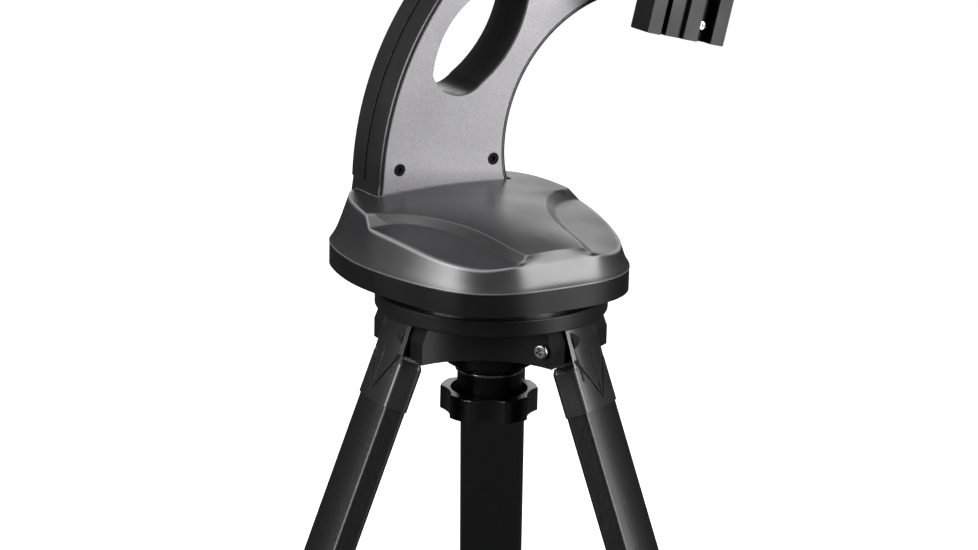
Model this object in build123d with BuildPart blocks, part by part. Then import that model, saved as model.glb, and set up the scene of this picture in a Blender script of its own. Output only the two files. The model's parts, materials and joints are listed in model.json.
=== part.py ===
"""Single-arm alt-azimuth telescope mount on a folding tripod.

Row frame: the origin is the point where the altitude axis meets the saddle's seat. +X runs along
the altitude axis, away from the arm. +Y is horizontal, the way the arm leans. +Z is up.
Millimetres throughout. At rest the saddle points a little above the horizon and the tripod's
legs stand open with their lower sections pushed in.
"""
from build123d import *
import os
from math import asin, atan2, cos, degrees, hypot, pi, radians, sin

# Places of the two main axes
AZ_X = 30.0
AZ_Y = -163.0
DECK_Z = -206.0
REST_TILT = 13.6
RUNNING = 0.05
SLIP = 0.3

# Tripod head
FLANGE_R = 72.0
FLANGE_T = 10.2
BODY_BOTTOM = -33.0
WAIST_R = 46.0
EAR_REACH = 64.0
EAR_IN = 14.5
EAR_OUT = 33.0
BOSS_R = 28.0
NECK_R = 20.0
BOSS_BOTTOM = -46.0
NECK_TOP = -50.2
NECK_BOTTOM = -71.5
HINGE_R = 57.0
HINGE_Z = -22.4
BOLT_R = 2.5
LEG_AZIMUTHS = (26.5, 146.5, 266.5)

# Star knob and coupling bolt
STAR_R = 30.5
STAR_TOP = -64.7
STAR_T = 15.1
STAR_LOBES = 5
SCALLOP_R = 26.1
SCALLOP_ROOT = 26.5
SCALLOP_ANGLE = 40.0
CUP_R = 24.0
COUPLING_R = 5.95

# Azimuth bearing and drive
PLATE_R = 58.0
PLATE_T = 3.4
WASHER_T = 1.0
SPINDLE_R = 14.0
SPINDLE_TOP = 24.0
MODULE = 1.0
MESH_GAP = 0.15
AZ_TEETH = 80
AZ_PINION_TEETH = 16
ALT_TEETH = 60
ALT_PINION_TEETH = 15
ALT_PINION_ANGLE = 198.0
GEAR_Z = 12.0
GEAR_T = 6.0

# Base
PAN_BOTTOM = 6.0
BOARD_HOLES = (24.0, 88.0)
FLOOR_T = 3.0
RIM_Z = 20.0
WALL = 3.0
COVER_TOP_FRONT = 40.5
COVER_TOP_REAR = 51.0
SCOOP_DEPTH = 4.0
BASE_FRONT = 81.0
BASE_BACK = -103.0
COVER_SHRINK = 0.82
COVER_LOFT_TOP = 54.0
COVER_BOSSES = {(52.0, 40.0): 18.0, (-30.0, 66.0): 24.0}

# Arm, in distances from the azimuth axis and heights above the tripod head
ARM_INNER = -56.0
ARM_SPLIT = -75.0
ARM_OUTER = -94.0
ARM_FOOT_Z = 9.1
OUTER_FOOT_Z = 20.3
OUTER_FOOT_TOP = 56.0
FOOT_REAR = -49.4
FOOT_FLARE_Z = 46.0
SHELL_PROUD = 0.9
HEAD_R = 44.0
HEAD_F = -AZ_Y
HEAD_Z = -DECK_Z
REAR_ARC = (151.8, 50.5)
FRONT_ARC = (137.4, 69.8)
FOOT_FRONT = 47.5
PLATE_INSET = 2.6
FACE_T = 2.5
WEB = 3.0
FOOT_SCREWS = ((-34.0, 65.0), (34.0, 65.0))

# Altitude shaft and saddle
SHAFT_R = 8.0
BUSH_R = 12.0
BUSH_BOSS_R = 17.0
ROTOR_R = 38.0
ROTOR_BACK = -25.6
SEAT_PLATE = 14.0
SEAT_PAD = 1.0
JAW_LIP = 3.5
BLOCK_HALF = 30.2
BLOCK_DEPTH = 18.0
BLOCK_BOTTOM = -68.0
BLOCK_SCREWS = ((14.6, -57.7), (14.6, -32.0))
SCREW_R = 1.5
JAW_HALF_GAP = 22.0
JAW_H = 22.0
JAW_DEPTH = 15.0
LUG_BOTTOM = 52.0
LUG_TOP = 62.0
CLAMP_X = 8.0
CLAMP_R = 3.9

# Legs, in distances down the leg from its hinge
SPLAY = 21.0
LEG_WIDE = 22.0
LEG_NARROW = 18.0
LEG_BACK = -6.0
LEG_FRONT = 7.4
LEG_CROWN = 3.0
LEG_ROUND = 3.0
LEG_ROUND_LEAST = 0.5
LEG_WALL = 1.8
TONGUE_HALF = 14.2
TONGUE_R = 11.5
SHOULDER = 14.3
SHOULDER_END = 17.5
FITTING_PROUD = 0.8
FITTING_END = 45.0
PLUG_END = 70.0
PANEL_BACK = 7.3
PANEL_TOP = -7.8
PANEL_END = 24.0
EAR_FACE = 7.0
FAN_BOTTOM = 39.5
FAN_TOPS = ((-15.5, 13.0), (0.0, 9.5), (15.5, 13.0))
FAN_DEPTH = 0.9
FAN_CROWN = 11.9
TUBE_END = 470.0
COLLAR_START = 448.0
COLLAR_END = 492.0
COLLAR_T = 3.5
LOWER_START = 80.0
LOWER_END = 546.0
LOWER_GAP = 0.4
FOOT_START = 526.0
FOOT_END = 566.0
LOCK_S = 481.0


def level(height):
    """Horizontal plane on the azimuth axis, this high above the tripod head's top face."""
    return Plane(origin=(AZ_X, AZ_Y, DECK_Z + height))


def beside(distance):
    """Vertical plane facing +X, this far from the azimuth axis; local x is +Y, local y is up."""
    return Plane(origin=(AZ_X + distance, AZ_Y, DECK_Z), x_dir=(0, 1, 0), z_dir=(1, 0, 0))


def across_altitude(x):
    """Plane across the altitude axis at this X; local x is +Y, local y is up."""
    return Plane(origin=(x, 0, 0), x_dir=(0, 1, 0), z_dir=(1, 0, 0))


def saddle_plane(x):
    """Plane across the altitude axis, turned to the saddle's rest tilt; local y is the saddle's up."""
    tilt = radians(REST_TILT)
    return Plane(origin=(x, 0, 0), x_dir=(0, cos(tilt), -sin(tilt)), z_dir=(1, 0, 0))


def saddle_point(x, along, up):
    """Row-frame place of a point given in the saddle's own directions."""
    tilt = radians(REST_TILT)
    return (x, along * cos(tilt) + up * sin(tilt), -along * sin(tilt) + up * cos(tilt))


def saddle_up_plane(x, along, up):
    """Plane facing the saddle's up direction, with its origin at this point of the saddle."""
    tilt = radians(REST_TILT)
    return Plane(origin=saddle_point(x, along, up), x_dir=(1, 0, 0), z_dir=(0, sin(tilt), cos(tilt)))


def saddle_side_plane():
    """Plane across the telescope's direction, through the seat; local x is +X, local y is the saddle's up."""
    tilt = radians(REST_TILT)
    return Plane(origin=(0, 0, 0), x_dir=(1, 0, 0), z_dir=(0, -cos(tilt), sin(tilt)))


def leg_plane(azimuth, distance):
    """Plane across a leg, this far down it; local x is outward, local z runs down the leg."""
    a = radians(azimuth)
    s = radians(SPLAY)
    start = (AZ_X + HINGE_R * cos(a), AZ_Y + HINGE_R * sin(a), DECK_Z + HINGE_Z)
    outward = (cos(s) * cos(a), cos(s) * sin(a), sin(s))
    down = (sin(s) * cos(a), sin(s) * sin(a), -cos(s))
    return Plane(origin=start, x_dir=outward, z_dir=down).offset(distance)


def leg_side_plane(azimuth, sideways):
    """Plane along a leg, facing sideways; local x is outward and local y runs up the leg."""
    across = leg_plane(azimuth, 0)
    return Plane(origin=across.origin, x_dir=across.x_dir, z_dir=across.y_dir).offset(sideways)


def finish(part, name):
    """Label one piece and write it to its own file."""
    part.label = name
    export_step(part, f"parts/{name}.step")


def gear_points(teeth, module, phase):
    """Outline of a straight-flanked gear: root, flank, tip, flank for each tooth."""
    pitch = pi / teeth
    pitch_r = module * teeth / 2
    root_r = pitch_r - 1.15 * module
    tip_r = pitch_r + 0.9 * module
    points = []
    for k in range(teeth):
        middle = radians(phase) + 2 * pitch * k
        for radius, turn in ((root_r, -0.68), (tip_r, -0.2), (tip_r, 0.2), (root_r, 0.68)):
            angle = middle + turn * pitch
            points.append((radius * cos(angle), radius * sin(angle)))
    return points


# ---------------------------------------------------------------- tripod head


def hub_waist_points(azimuth, next_azimuth):
    """Ear corner, hollow middle and next ear corner of the wall between two legs."""
    corner = hypot(EAR_REACH, EAR_OUT)
    turn = degrees(atan2(EAR_OUT, EAR_REACH))
    middle = (azimuth + next_azimuth) / 2
    spots = ((corner, azimuth + turn), (WAIST_R, middle), (corner, next_azimuth - turn))
    return [(r * cos(radians(a)), r * sin(radians(a))) for r, a in spots]


def ear_line_points(azimuth):
    """Two corners of an ear's outer face, clockwise one first."""
    corner = hypot(EAR_REACH, EAR_OUT)
    turn = degrees(atan2(EAR_OUT, EAR_REACH))
    return [(corner * cos(radians(a)), corner * sin(radians(a))) for a in (azimuth - turn, azimuth + turn)]


def make_tripod_hub():
    body_t = -BODY_BOTTOM - FLANGE_T
    slot_in = HINGE_R - TONGUE_R - 1.5
    slot_length = EAR_REACH + 2.0 - slot_in
    with BuildPart() as hub:
        with BuildSketch(level(-FLANGE_T)):
            with BuildLine():
                for azimuth in LEG_AZIMUTHS:
                    ThreePointArc(*hub_waist_points(azimuth, azimuth + 120))
                    Line(*ear_line_points(azimuth))
            make_face()
        extrude(amount=-body_t)
        for azimuth in LEG_AZIMUTHS:
            with BuildSketch(level(-FLANGE_T)):
                with Locations(Rotation(0, 0, azimuth)):
                    with Locations((slot_in + slot_length / 2, 0)):
                        Rectangle(slot_length, 2 * EAR_IN)
            extrude(amount=-body_t, mode=Mode.SUBTRACT)
            with BuildSketch(leg_side_plane(azimuth, -EAR_IN - 12.0)):
                Circle(BOLT_R + RUNNING)
            extrude(amount=EAR_IN + EAR_OUT + 14.0, mode=Mode.SUBTRACT)
            with BuildSketch(leg_side_plane(azimuth, -EAR_OUT - 2.0)):
                with Locations((EAR_FACE + 15.0, 0)):
                    Rectangle(30.0, 60.0)
            extrude(amount=2 * EAR_OUT + 4.0, mode=Mode.SUBTRACT)
        with BuildSketch(level(-FLANGE_T)):
            Circle(FLANGE_R)
        extrude(amount=FLANGE_T)
        rims = hub.edges().filter_by(GeomType.CIRCLE).group_by(SortBy.RADIUS)[-1]
        fillet(rims, radius=0.8)
        with BuildSketch(level(BODY_BOTTOM)):
            Circle(BOSS_R)
        extrude(amount=BOSS_BOTTOM - BODY_BOTTOM)
        with BuildSketch(level(BOSS_BOTTOM)):
            Circle(BOSS_R)
        with BuildSketch(level(NECK_TOP)):
            Circle(NECK_R + 1.0)
        loft()
        with BuildSketch(level(NECK_TOP)):
            Circle(NECK_R)
        extrude(amount=NECK_BOTTOM - NECK_TOP)
        with BuildSketch(level(0)):
            Circle(COUPLING_R + 0.6)
        extrude(amount=NECK_BOTTOM, mode=Mode.SUBTRACT)
    finish(hub.part, "tripod_hub")


def make_neck_ring():
    with BuildPart() as ring:
        with BuildSketch(level(NECK_TOP - 2.4)):
            Circle(NECK_R + 1.4)
            Circle(NECK_R, mode=Mode.SUBTRACT)
        extrude(amount=2.0)
        fillet(ring.edges().filter_by(GeomType.CIRCLE).group_by(SortBy.RADIUS)[-1], radius=0.7)
    finish(ring.part, "neck_ring")


def pan_head(plane, shank_r, shank_length, head_r, head_t):
    """Pan-head screw: the plane is under the head and faces out of it."""
    with BuildPart() as screw:
        with BuildSketch(plane):
            Circle(head_r)
        extrude(amount=head_t)
        rim = screw.edges().sort_by(Axis(plane.origin, plane.z_dir))[-1]
        fillet(rim, radius=head_t * 0.45)
        with BuildSketch(plane.offset(head_t)):
            Rectangle(head_r * 1.1, head_r * 0.24)
            Rectangle(head_r * 0.24, head_r * 1.1)
        extrude(amount=-head_t * 0.5, mode=Mode.SUBTRACT)
        with BuildSketch(plane):
            Circle(shank_r)
        extrude(amount=-shank_length)
    return screw.part


def make_leg_bolts():
    with BuildPart() as bolts:
        for azimuth in LEG_AZIMUTHS:
            add(pan_head(leg_side_plane(azimuth, EAR_OUT), BOLT_R, EAR_OUT + EAR_IN + 11.0, 4.6, 2.9))
    finish(bolts.part, "leg_bolts")


def make_star_knob():
    with BuildPart() as knob:
        with BuildSketch(level(STAR_TOP - STAR_T)) as plan:
            Circle(STAR_R)
            with PolarLocations(SCALLOP_ROOT + SCALLOP_R, STAR_LOBES, start_angle=SCALLOP_ANGLE):
                Circle(SCALLOP_R, mode=Mode.SUBTRACT)
            fillet(plan.vertices(), radius=1.6)
        extrude(amount=STAR_T)
        rims = knob.faces().filter_by(Axis.Z)
        fillet(rims.edges(), radius=1.0)
        with BuildSketch(level(STAR_TOP)):
            Circle(CUP_R)
        extrude(amount=-(STAR_TOP - NECK_BOTTOM + 0.3), mode=Mode.SUBTRACT)
        with BuildSketch(level(STAR_TOP)):
            Circle(COUPLING_R)
        extrude(amount=-STAR_T, mode=Mode.SUBTRACT)
    finish(knob.part, "star_knob")


def make_coupling_bolt():
    bottom = STAR_TOP - STAR_T
    with BuildPart() as bolt:
        with BuildSketch(level(bottom)):
            Circle(COUPLING_R)
        extrude(amount=14.0 - bottom)
        with BuildSketch(level(bottom)):
            RegularPolygon(11.0, 6)
        extrude(amount=-5.0)
        chamfer(bolt.faces().sort_by(Axis.Z)[-1].edges(), length=1.0)
    finish(bolt.part, "coupling_bolt")


# ---------------------------------------------------------------- azimuth bearing and drive


def make_bearing_plate():
    with BuildPart() as plate:
        with BuildSketch(level(0)):
            Circle(PLATE_R)
        extrude(amount=PLATE_T)
        with BuildSketch(level(PLATE_T)):
            Circle(SPINDLE_R)
        extrude(amount=SPINDLE_TOP - PLATE_T)
        with BuildSketch(level(0)):
            Circle(COUPLING_R + RUNNING)
        extrude(amount=16.0, mode=Mode.SUBTRACT)
        chamfer(plate.faces().sort_by(Axis.Z)[-1].edges(), length=1.0)
    finish(plate.part, "bearing_plate")


def make_thrust_washer():
    with BuildPart() as washer:
        with BuildSketch(level(PLATE_T)):
            Circle(PLATE_R - 2)
            Circle(PLATE_R - 20, mode=Mode.SUBTRACT)
        extrude(amount=WASHER_T)
    finish(washer.part, "thrust_washer")


def make_azimuth_gear():
    with BuildPart() as gear:
        with BuildSketch(level(GEAR_Z)):
            with BuildLine():
                Polyline(*gear_points(AZ_TEETH, MODULE, 0), close=True)
            make_face()
            Circle(SPINDLE_R, mode=Mode.SUBTRACT)
            with PolarLocations(26.0, 6):
                Circle(6.0, mode=Mode.SUBTRACT)
        extrude(amount=GEAR_T)
    finish(gear.part, "azimuth_gear")


def make_spindle_nut():
    with BuildPart() as nut:
        with BuildSketch(level(GEAR_Z + GEAR_T)):
            RegularPolygon(20.0, 6)
            Circle(SPINDLE_R, mode=Mode.SUBTRACT)
        extrude(amount=5.0)
    finish(nut.part, "spindle_nut")


def azimuth_pinion_distance():
    return MODULE * (AZ_TEETH + AZ_PINION_TEETH) / 2 + MESH_GAP


def make_azimuth_pinion():
    away = azimuth_pinion_distance()
    phase = 180.0 / AZ_PINION_TEETH
    with BuildPart() as pinion:
        with BuildSketch(level(GEAR_Z - 0.5)):
            with Locations((away, 0)):
                with BuildLine(mode=Mode.PRIVATE) as teeth:
                    Polyline(*gear_points(AZ_PINION_TEETH, MODULE, phase), close=True)
                add(make_face(teeth.edges(), mode=Mode.PRIVATE))
                Circle(1.5 + RUNNING, mode=Mode.SUBTRACT)
        extrude(amount=GEAR_T + 1.0)
    finish(pinion.part, "azimuth_pinion")


def make_azimuth_motor():
    away = azimuth_pinion_distance()
    with BuildPart() as motor:
        with BuildSketch(level(19.2)):
            with Locations((away, 0)):
                Circle(13.0)
                Rectangle(12.0, 34.0)
        extrude(amount=2.0)
        with BuildSketch(level(21.2)):
            with Locations((away, 0)):
                Circle(11.0)
        extrude(amount=10.0)
        with BuildSketch(level(19.2)):
            with Locations((away, 0)):
                Circle(1.5)
        extrude(amount=-(19.2 - GEAR_Z + 1.5))
        fillet(motor.faces().sort_by(Axis.Z)[-1].edges(), radius=1.0)
    finish(motor.part, "azimuth_motor")


def make_drive_board():
    with BuildPart() as board:
        with BuildSketch(level(27.0)):
            with Locations((-26.0, 0)):
                RectangleRounded(34.0, 98.0, 2.0)
                with GridLocations(*BOARD_HOLES, 2, 2):
                    Circle(1.6, mode=Mode.SUBTRACT)
        extrude(amount=1.6)
        with BuildSketch(level(28.6)):
            with Locations((-24.0, 10.0)):
                Rectangle(12.0, 12.0)
            with Locations((-26.0, -16.0)):
                Rectangle(8.0, 18.0)
            with Locations((-36.0, 24.0)):
                Rectangle(9.0, 8.0)
        extrude(amount=2.2)
    finish(board.part, "drive_board")


# ---------------------------------------------------------------- base


def base_points(shrink):
    """One half of the base's plan, front to back, drawn in towards a point near its middle."""
    half = ((80.0, 25.0), (75.0, 43.5), (61.0, 61.5), (36.0, 73.0), (4.0, 81.0))
    half += ((-27.0, 84.0), (-59.0, 79.5), (-84.0, 68.5), (-98.5, 46.0))
    middle = (BASE_FRONT + BASE_BACK) / 2
    front = [(BASE_FRONT, 0.0)]
    side = list(half)
    back = [(BASE_BACK, 0.0)]
    other = [(x, -y) for x, y in reversed(half)]
    points = front + side + back + other
    return [(middle + (x - middle) * shrink, y * shrink) for x, y in points]


def base_outline(shrink):
    """Closed, smooth plan of the base."""
    with BuildSketch() as plan:
        with BuildLine():
            Spline(*base_points(shrink), periodic=True)
        make_face()
    return plan.sketch


def make_base_pan():
    with BuildPart() as pan:
        with BuildSketch(level(PAN_BOTTOM)):
            add(base_outline(0.99))
        extrude(amount=RIM_Z - PAN_BOTTOM)
        with BuildSketch(level(PAN_BOTTOM + FLOOR_T)):
            add(base_outline(0.955))
        extrude(amount=RIM_Z, mode=Mode.SUBTRACT)
        with BuildSketch(level(PAN_BOTTOM)):
            Circle(PLATE_R - 1)
            Circle(PLATE_R - 20, mode=Mode.SUBTRACT)
        extrude(amount=-(PAN_BOTTOM - PLATE_T - WASHER_T - RUNNING))
        with BuildSketch(level(PLATE_T + WASHER_T + RUNNING)):
            Circle(SPINDLE_R + 6)
        extrude(amount=GEAR_Z - PLATE_T - WASHER_T - 2 * RUNNING)
        with BuildSketch(level(0)):
            Circle(SPINDLE_R + RUNNING)
        extrude(amount=GEAR_Z, mode=Mode.SUBTRACT)
        with BuildSketch(level(PAN_BOTTOM + FLOOR_T)):
            with Locations((-26.0, 0)):
                with GridLocations(*BOARD_HOLES, 2, 2):
                    Circle(3.0)
            with Locations((azimuth_pinion_distance(), 0)):
                with GridLocations(6.0, 28.0, 2, 2):
                    Circle(2.5)
        extrude(amount=10.1)
    finish(pan.part, "base_pan")


def make_board_posts():
    with BuildPart() as posts:
        with BuildSketch(level(PAN_BOTTOM + FLOOR_T + 10.1)):
            with Locations((-26.0, 0)):
                with GridLocations(*BOARD_HOLES, 2, 2):
                    Circle(2.6)
        extrude(amount=27.0 - PAN_BOTTOM - FLOOR_T - 10.1)
    finish(posts.part, "board_posts")


def cover_block(shrink, drop):
    """Solid inside the cover's skirt and under its sloping top, lowered by drop."""
    with BuildPart() as block:
        with BuildSketch(level(RIM_Z)):
            add(base_outline(shrink))
        with BuildSketch(level(COVER_LOFT_TOP)):
            add(base_outline(shrink * COVER_SHRINK))
        loft(ruled=True)
        split(bisect_by=roof_plane(drop), keep=Keep.BOTTOM)
    return block.part


def roof_plane(drop):
    """The cover's sloping top, lowered by drop; local x runs to the front, down the slope."""
    slope = (COVER_TOP_REAR - COVER_TOP_FRONT) / (BASE_FRONT - ARM_INNER)
    height = DECK_Z + COVER_TOP_FRONT + slope * BASE_FRONT - drop
    return Plane(origin=(AZ_X, AZ_Y, height), x_dir=(1, 0, -slope), z_dir=(slope, 0, 1))


def arm_foot_rectangle(clear):
    with Locations(((ARM_INNER + ARM_OUTER) / 2, (FOOT_REAR + FOOT_FRONT) / 2)):
        Rectangle(ARM_INNER - ARM_OUTER + 2 * clear, FOOT_FRONT - FOOT_REAR + 2 * clear)


def make_base_cover():
    with BuildPart() as cover:
        add(cover_block(1.0, 0))
        roof = roof_plane(0)
        for side in (1, -1):
            with BuildSketch(roof):
                with BuildLine():
                    ThreePointArc((74.0, 21.0 * side), (22.0, 34.0 * side), (-38.0, 72.0 * side))
                    ThreePointArc((-38.0, 72.0 * side), (10.0, 73.0 * side), (74.0, 21.0 * side))
                make_face()
            extrude(amount=-SCOOP_DEPTH, mode=Mode.SUBTRACT)
        add(cover_block(0.955, SCOOP_DEPTH + WALL), mode=Mode.SUBTRACT)
        with BuildSketch(level(RIM_Z)):
            arm_foot_rectangle(SLIP)
        extrude(amount=60.0, mode=Mode.SUBTRACT)
        for (n, f), height in COVER_BOSSES.items():
            with BuildSketch(level(RIM_Z)):
                with Locations((n, f), (n, -f)):
                    Circle(4.0)
            extrude(amount=height)
            with BuildSketch(level(RIM_Z)):
                with Locations((n, f), (n, -f)):
                    Circle(1.6)
            extrude(amount=10.0, mode=Mode.SUBTRACT)
    finish(cover.part, "base_cover")


# ---------------------------------------------------------------- arm


def rear_radius():
    return hypot(HEAD_F - REAR_ARC[0], HEAD_Z - REAR_ARC[1]) + HEAD_R


def front_radius():
    return hypot(HEAD_F - FRONT_ARC[0], HEAD_Z - FRONT_ARC[1]) - HEAD_R


def arc_point(centre, radius, angle):
    return (centre[0] + radius * cos(radians(angle)), centre[1] + radius * sin(radians(angle)))


def arm_outline(inset=0, foot=ARM_FOOT_Z):
    """Side view of the arm: two sweeping arcs round the head, and a rear edge that flares at the foot."""
    head = (HEAD_F, HEAD_Z)
    rear = rear_radius() - inset
    front = front_radius() + inset
    low_turn = 180 - degrees(asin((OUTER_FOOT_TOP - REAR_ARC[1]) / rear_radius()))
    rear_turn = degrees(atan2(HEAD_Z - REAR_ARC[1], HEAD_F - REAR_ARC[0]))
    front_turn = degrees(atan2(HEAD_Z - FRONT_ARC[1], HEAD_F - FRONT_ARC[0]))
    rear_low = arc_point(REAR_ARC, rear, low_turn)
    rear_mid = arc_point(REAR_ARC, rear, (low_turn + rear_turn) / 2)
    rear_top = arc_point(REAR_ARC, rear, rear_turn)
    nose = arc_point(head, HEAD_R - inset, -10)
    front_top = arc_point(FRONT_ARC, front, front_turn)
    front_mid = arc_point(FRONT_ARC, front, (180 + front_turn) / 2)
    front_low = arc_point(FRONT_ARC, front, 180)
    heel_mid = (front_low[0] + 0.9, front_low[1] - 11.0)
    heel = (FOOT_FRONT - 1.2 - inset, front_low[1] - 22.0)
    toe = (FOOT_FRONT - inset, foot + inset)
    rear_foot = FOOT_REAR + inset
    with BuildSketch() as side:
        with BuildLine():
            Polyline((rear_foot, foot + inset), (rear_foot, FOOT_FLARE_Z), rear_low)
            ThreePointArc(rear_low, rear_mid, rear_top)
            ThreePointArc(rear_top, nose, front_top)
            ThreePointArc(front_top, front_mid, front_low)
            ThreePointArc(front_low, heel_mid, heel)
            Polyline(heel, toe, (rear_foot, foot + inset))
        make_face()
    return side.sketch


def window_outline(grow):
    """Leaf-shaped hand-controller window through the arm, grown all round."""
    with BuildSketch() as leaf:
        with BuildLine():
            ThreePointArc((-10.9, 123.0), (4.5, 108.8), (24.3, 114.8))
            ThreePointArc((24.3, 114.8), (45.5, 136.1), (58.2, 172.0))
            ThreePointArc((58.2, 172.0), (52.0, 180.6), (40.0, 178.6))
            ThreePointArc((40.0, 178.6), (4.0, 158.0), (-10.9, 123.0))
        make_face()
        if grow:
            offset(amount=grow, mode=Mode.REPLACE)
    return leaf.sketch


def outer_foot():
    """Foot of the arm's outer half: the hollow block that the outer shell stands on."""
    start = ARM_OUTER + SHELL_PROUD
    with BuildPart() as foot:
        with BuildSketch(beside(start)):
            add(arm_outline(0, OUTER_FOOT_Z))
        extrude(amount=ARM_SPLIT - start)
        fillet(foot.faces().sort_by(Axis.X)[0].edges(), radius=4.0)
        with BuildSketch(beside(start + WALL)):
            add(arm_outline(WALL, OUTER_FOOT_Z))
        extrude(amount=ARM_SPLIT - start, mode=Mode.SUBTRACT)
        split(bisect_by=level(OUTER_FOOT_TOP), keep=Keep.BOTTOM)
    return foot.part


def make_arm():
    outline_depth = ARM_INNER - ARM_SPLIT
    web_x = ARM_INNER - FACE_T - WEB
    with BuildPart() as body:
        with BuildSketch(beside(ARM_SPLIT)):
            add(arm_outline())
        extrude(amount=outline_depth)
        fillet(body.faces().sort_by(Axis.X)[-1].edges(), radius=2.2)
        with BuildSketch(beside(ARM_SPLIT)):
            add(arm_outline(WALL))
        extrude(amount=web_x - ARM_SPLIT, mode=Mode.SUBTRACT)
        add(outer_foot())
        with BuildSketch(beside(ARM_SPLIT)):
            add(window_outline(WALL))
        extrude(amount=outline_depth - FACE_T)
        with BuildSketch(beside(ARM_INNER - FACE_T)):
            add(arm_outline(PLATE_INSET))
        extrude(amount=FACE_T, mode=Mode.SUBTRACT)
        with BuildSketch(beside(ARM_SPLIT)):
            add(window_outline(0))
        extrude(amount=outline_depth, mode=Mode.SUBTRACT)
        with BuildSketch(across_altitude(AZ_X + web_x - 8)):
            Circle(BUSH_BOSS_R)
        extrude(amount=8)
        with BuildSketch(across_altitude(AZ_X + ARM_SPLIT)):
            Circle(BUSH_R)
        extrude(amount=outline_depth, mode=Mode.SUBTRACT)
        with BuildSketch(beside(ARM_SPLIT)):
            with Locations(*FOOT_SCREWS):
                Circle(5.5)
        extrude(amount=web_x - ARM_SPLIT)
        with BuildSketch(beside(ARM_SPLIT)):
            with Locations(*FOOT_SCREWS):
                Circle(2.0)
        extrude(amount=outline_depth, mode=Mode.SUBTRACT)
    finish(body.part, "arm_body")

    with BuildPart() as plate:
        with BuildSketch(beside(ARM_INNER - FACE_T)):
            add(arm_outline(PLATE_INSET + 0.25))
        extrude(amount=FACE_T - 0.4)
        with BuildSketch(beside(ARM_INNER - FACE_T)):
            add(window_outline(0.4))
        extrude(amount=FACE_T, mode=Mode.SUBTRACT)
        with BuildSketch(across_altitude(AZ_X + ARM_INNER - FACE_T)):
            Circle(BUSH_R + SLIP)
        extrude(amount=FACE_T, mode=Mode.SUBTRACT)
        with BuildSketch(beside(ARM_INNER - FACE_T)):
            with Locations(*FOOT_SCREWS):
                Circle(4.0)
        extrude(amount=FACE_T, mode=Mode.SUBTRACT)
    finish(plate.part, "arm_face_plate")


def make_arm_cover():
    """Outer half of the arm: a hollow shell, a little proud of the arm, with the outer bearing boss."""
    depth = ARM_SPLIT - ARM_OUTER - SLIP
    with BuildPart() as cover:
        with BuildSketch(beside(ARM_OUTER)):
            add(arm_outline(-SHELL_PROUD))
        extrude(amount=depth)
        fillet(cover.faces().sort_by(Axis.X)[0].edges(), radius=5.0)
        with BuildSketch(beside(ARM_OUTER + WALL)):
            add(arm_outline(WALL - SHELL_PROUD))
        extrude(amount=depth, mode=Mode.SUBTRACT)
        split(bisect_by=level(OUTER_FOOT_TOP + SLIP), keep=Keep.TOP)
        with BuildSketch(beside(ARM_OUTER)):
            add(window_outline(WALL))
        extrude(amount=depth)
        with BuildSketch(beside(ARM_OUTER)):
            add(window_outline(0))
        extrude(amount=depth, mode=Mode.SUBTRACT)
        with BuildSketch(across_altitude(AZ_X + ARM_OUTER + WALL)):
            Circle(BUSH_BOSS_R)
        extrude(amount=8)
        with BuildSketch(across_altitude(AZ_X + ARM_OUTER)):
            Circle(BUSH_R)
        extrude(amount=depth, mode=Mode.SUBTRACT)
    finish(cover.part, "arm_cover")


def make_foot_screws():
    with BuildPart() as screws:
        for f, z in FOOT_SCREWS:
            at = (AZ_X + ARM_INNER - FACE_T, AZ_Y + f, DECK_Z + z)
            plane = Plane(origin=at, x_dir=(0, 1, 0), z_dir=(1, 0, 0))
            with BuildSketch(plane):
                Circle(3.5)
            extrude(amount=1.4)
            with BuildSketch(plane.offset(1.4)):
                RegularPolygon(1.9, 6)
            extrude(amount=-1.2, mode=Mode.SUBTRACT)
            with BuildSketch(plane):
                Circle(2.0)
            extrude(amount=-16.0)
    finish(screws.part, "arm_foot_screws")


# ---------------------------------------------------------------- altitude axis


def make_altitude_bushes():
    spans = {
        "altitude_bush_inner": (ARM_INNER - FACE_T - WEB - 8, 13.2),
        "altitude_bush_outer": (ARM_OUTER + 0.2, 10.8),
    }
    for name, (start, length) in spans.items():
        with BuildPart() as bush:
            with BuildSketch(across_altitude(AZ_X + start)):
                Circle(BUSH_R)
                Circle(SHAFT_R + RUNNING, mode=Mode.SUBTRACT)
            extrude(amount=length)
        finish(bush.part, name)


def make_altitude_shaft():
    with BuildPart() as shaft:
        with BuildSketch(across_altitude(-79.0)):
            Circle(SHAFT_R)
        extrude(amount=79.0 - SEAT_PLATE)
        chamfer(shaft.faces().sort_by(Axis.X)[0].edges(), length=1.0)
    finish(shaft.part, "altitude_shaft")


def make_altitude_gear():
    with BuildPart() as gear:
        with BuildSketch(across_altitude(-50.0)):
            with BuildLine():
                Polyline(*gear_points(ALT_TEETH, MODULE, 0), close=True)
            make_face()
            Circle(SHAFT_R, mode=Mode.SUBTRACT)
            with PolarLocations(19.0, 6):
                Circle(4.5, mode=Mode.SUBTRACT)
        extrude(amount=GEAR_T)
    finish(gear.part, "altitude_gear")


def altitude_pinion_spot():
    away = MODULE * (ALT_TEETH + ALT_PINION_TEETH) / 2 + MESH_GAP
    return (away * cos(radians(ALT_PINION_ANGLE)), away * sin(radians(ALT_PINION_ANGLE)))


def make_altitude_pinion():
    with BuildPart() as pinion:
        with BuildSketch(Plane(origin=(-50.5, *altitude_pinion_spot()), x_dir=(0, 1, 0), z_dir=(1, 0, 0))):
            with BuildLine():
                Polyline(*gear_points(ALT_PINION_TEETH, MODULE, ALT_PINION_ANGLE), close=True)
            make_face()
            Circle(1.5 + RUNNING, mode=Mode.SUBTRACT)
        extrude(amount=GEAR_T + 1.0)
    finish(pinion.part, "altitude_pinion")


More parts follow.
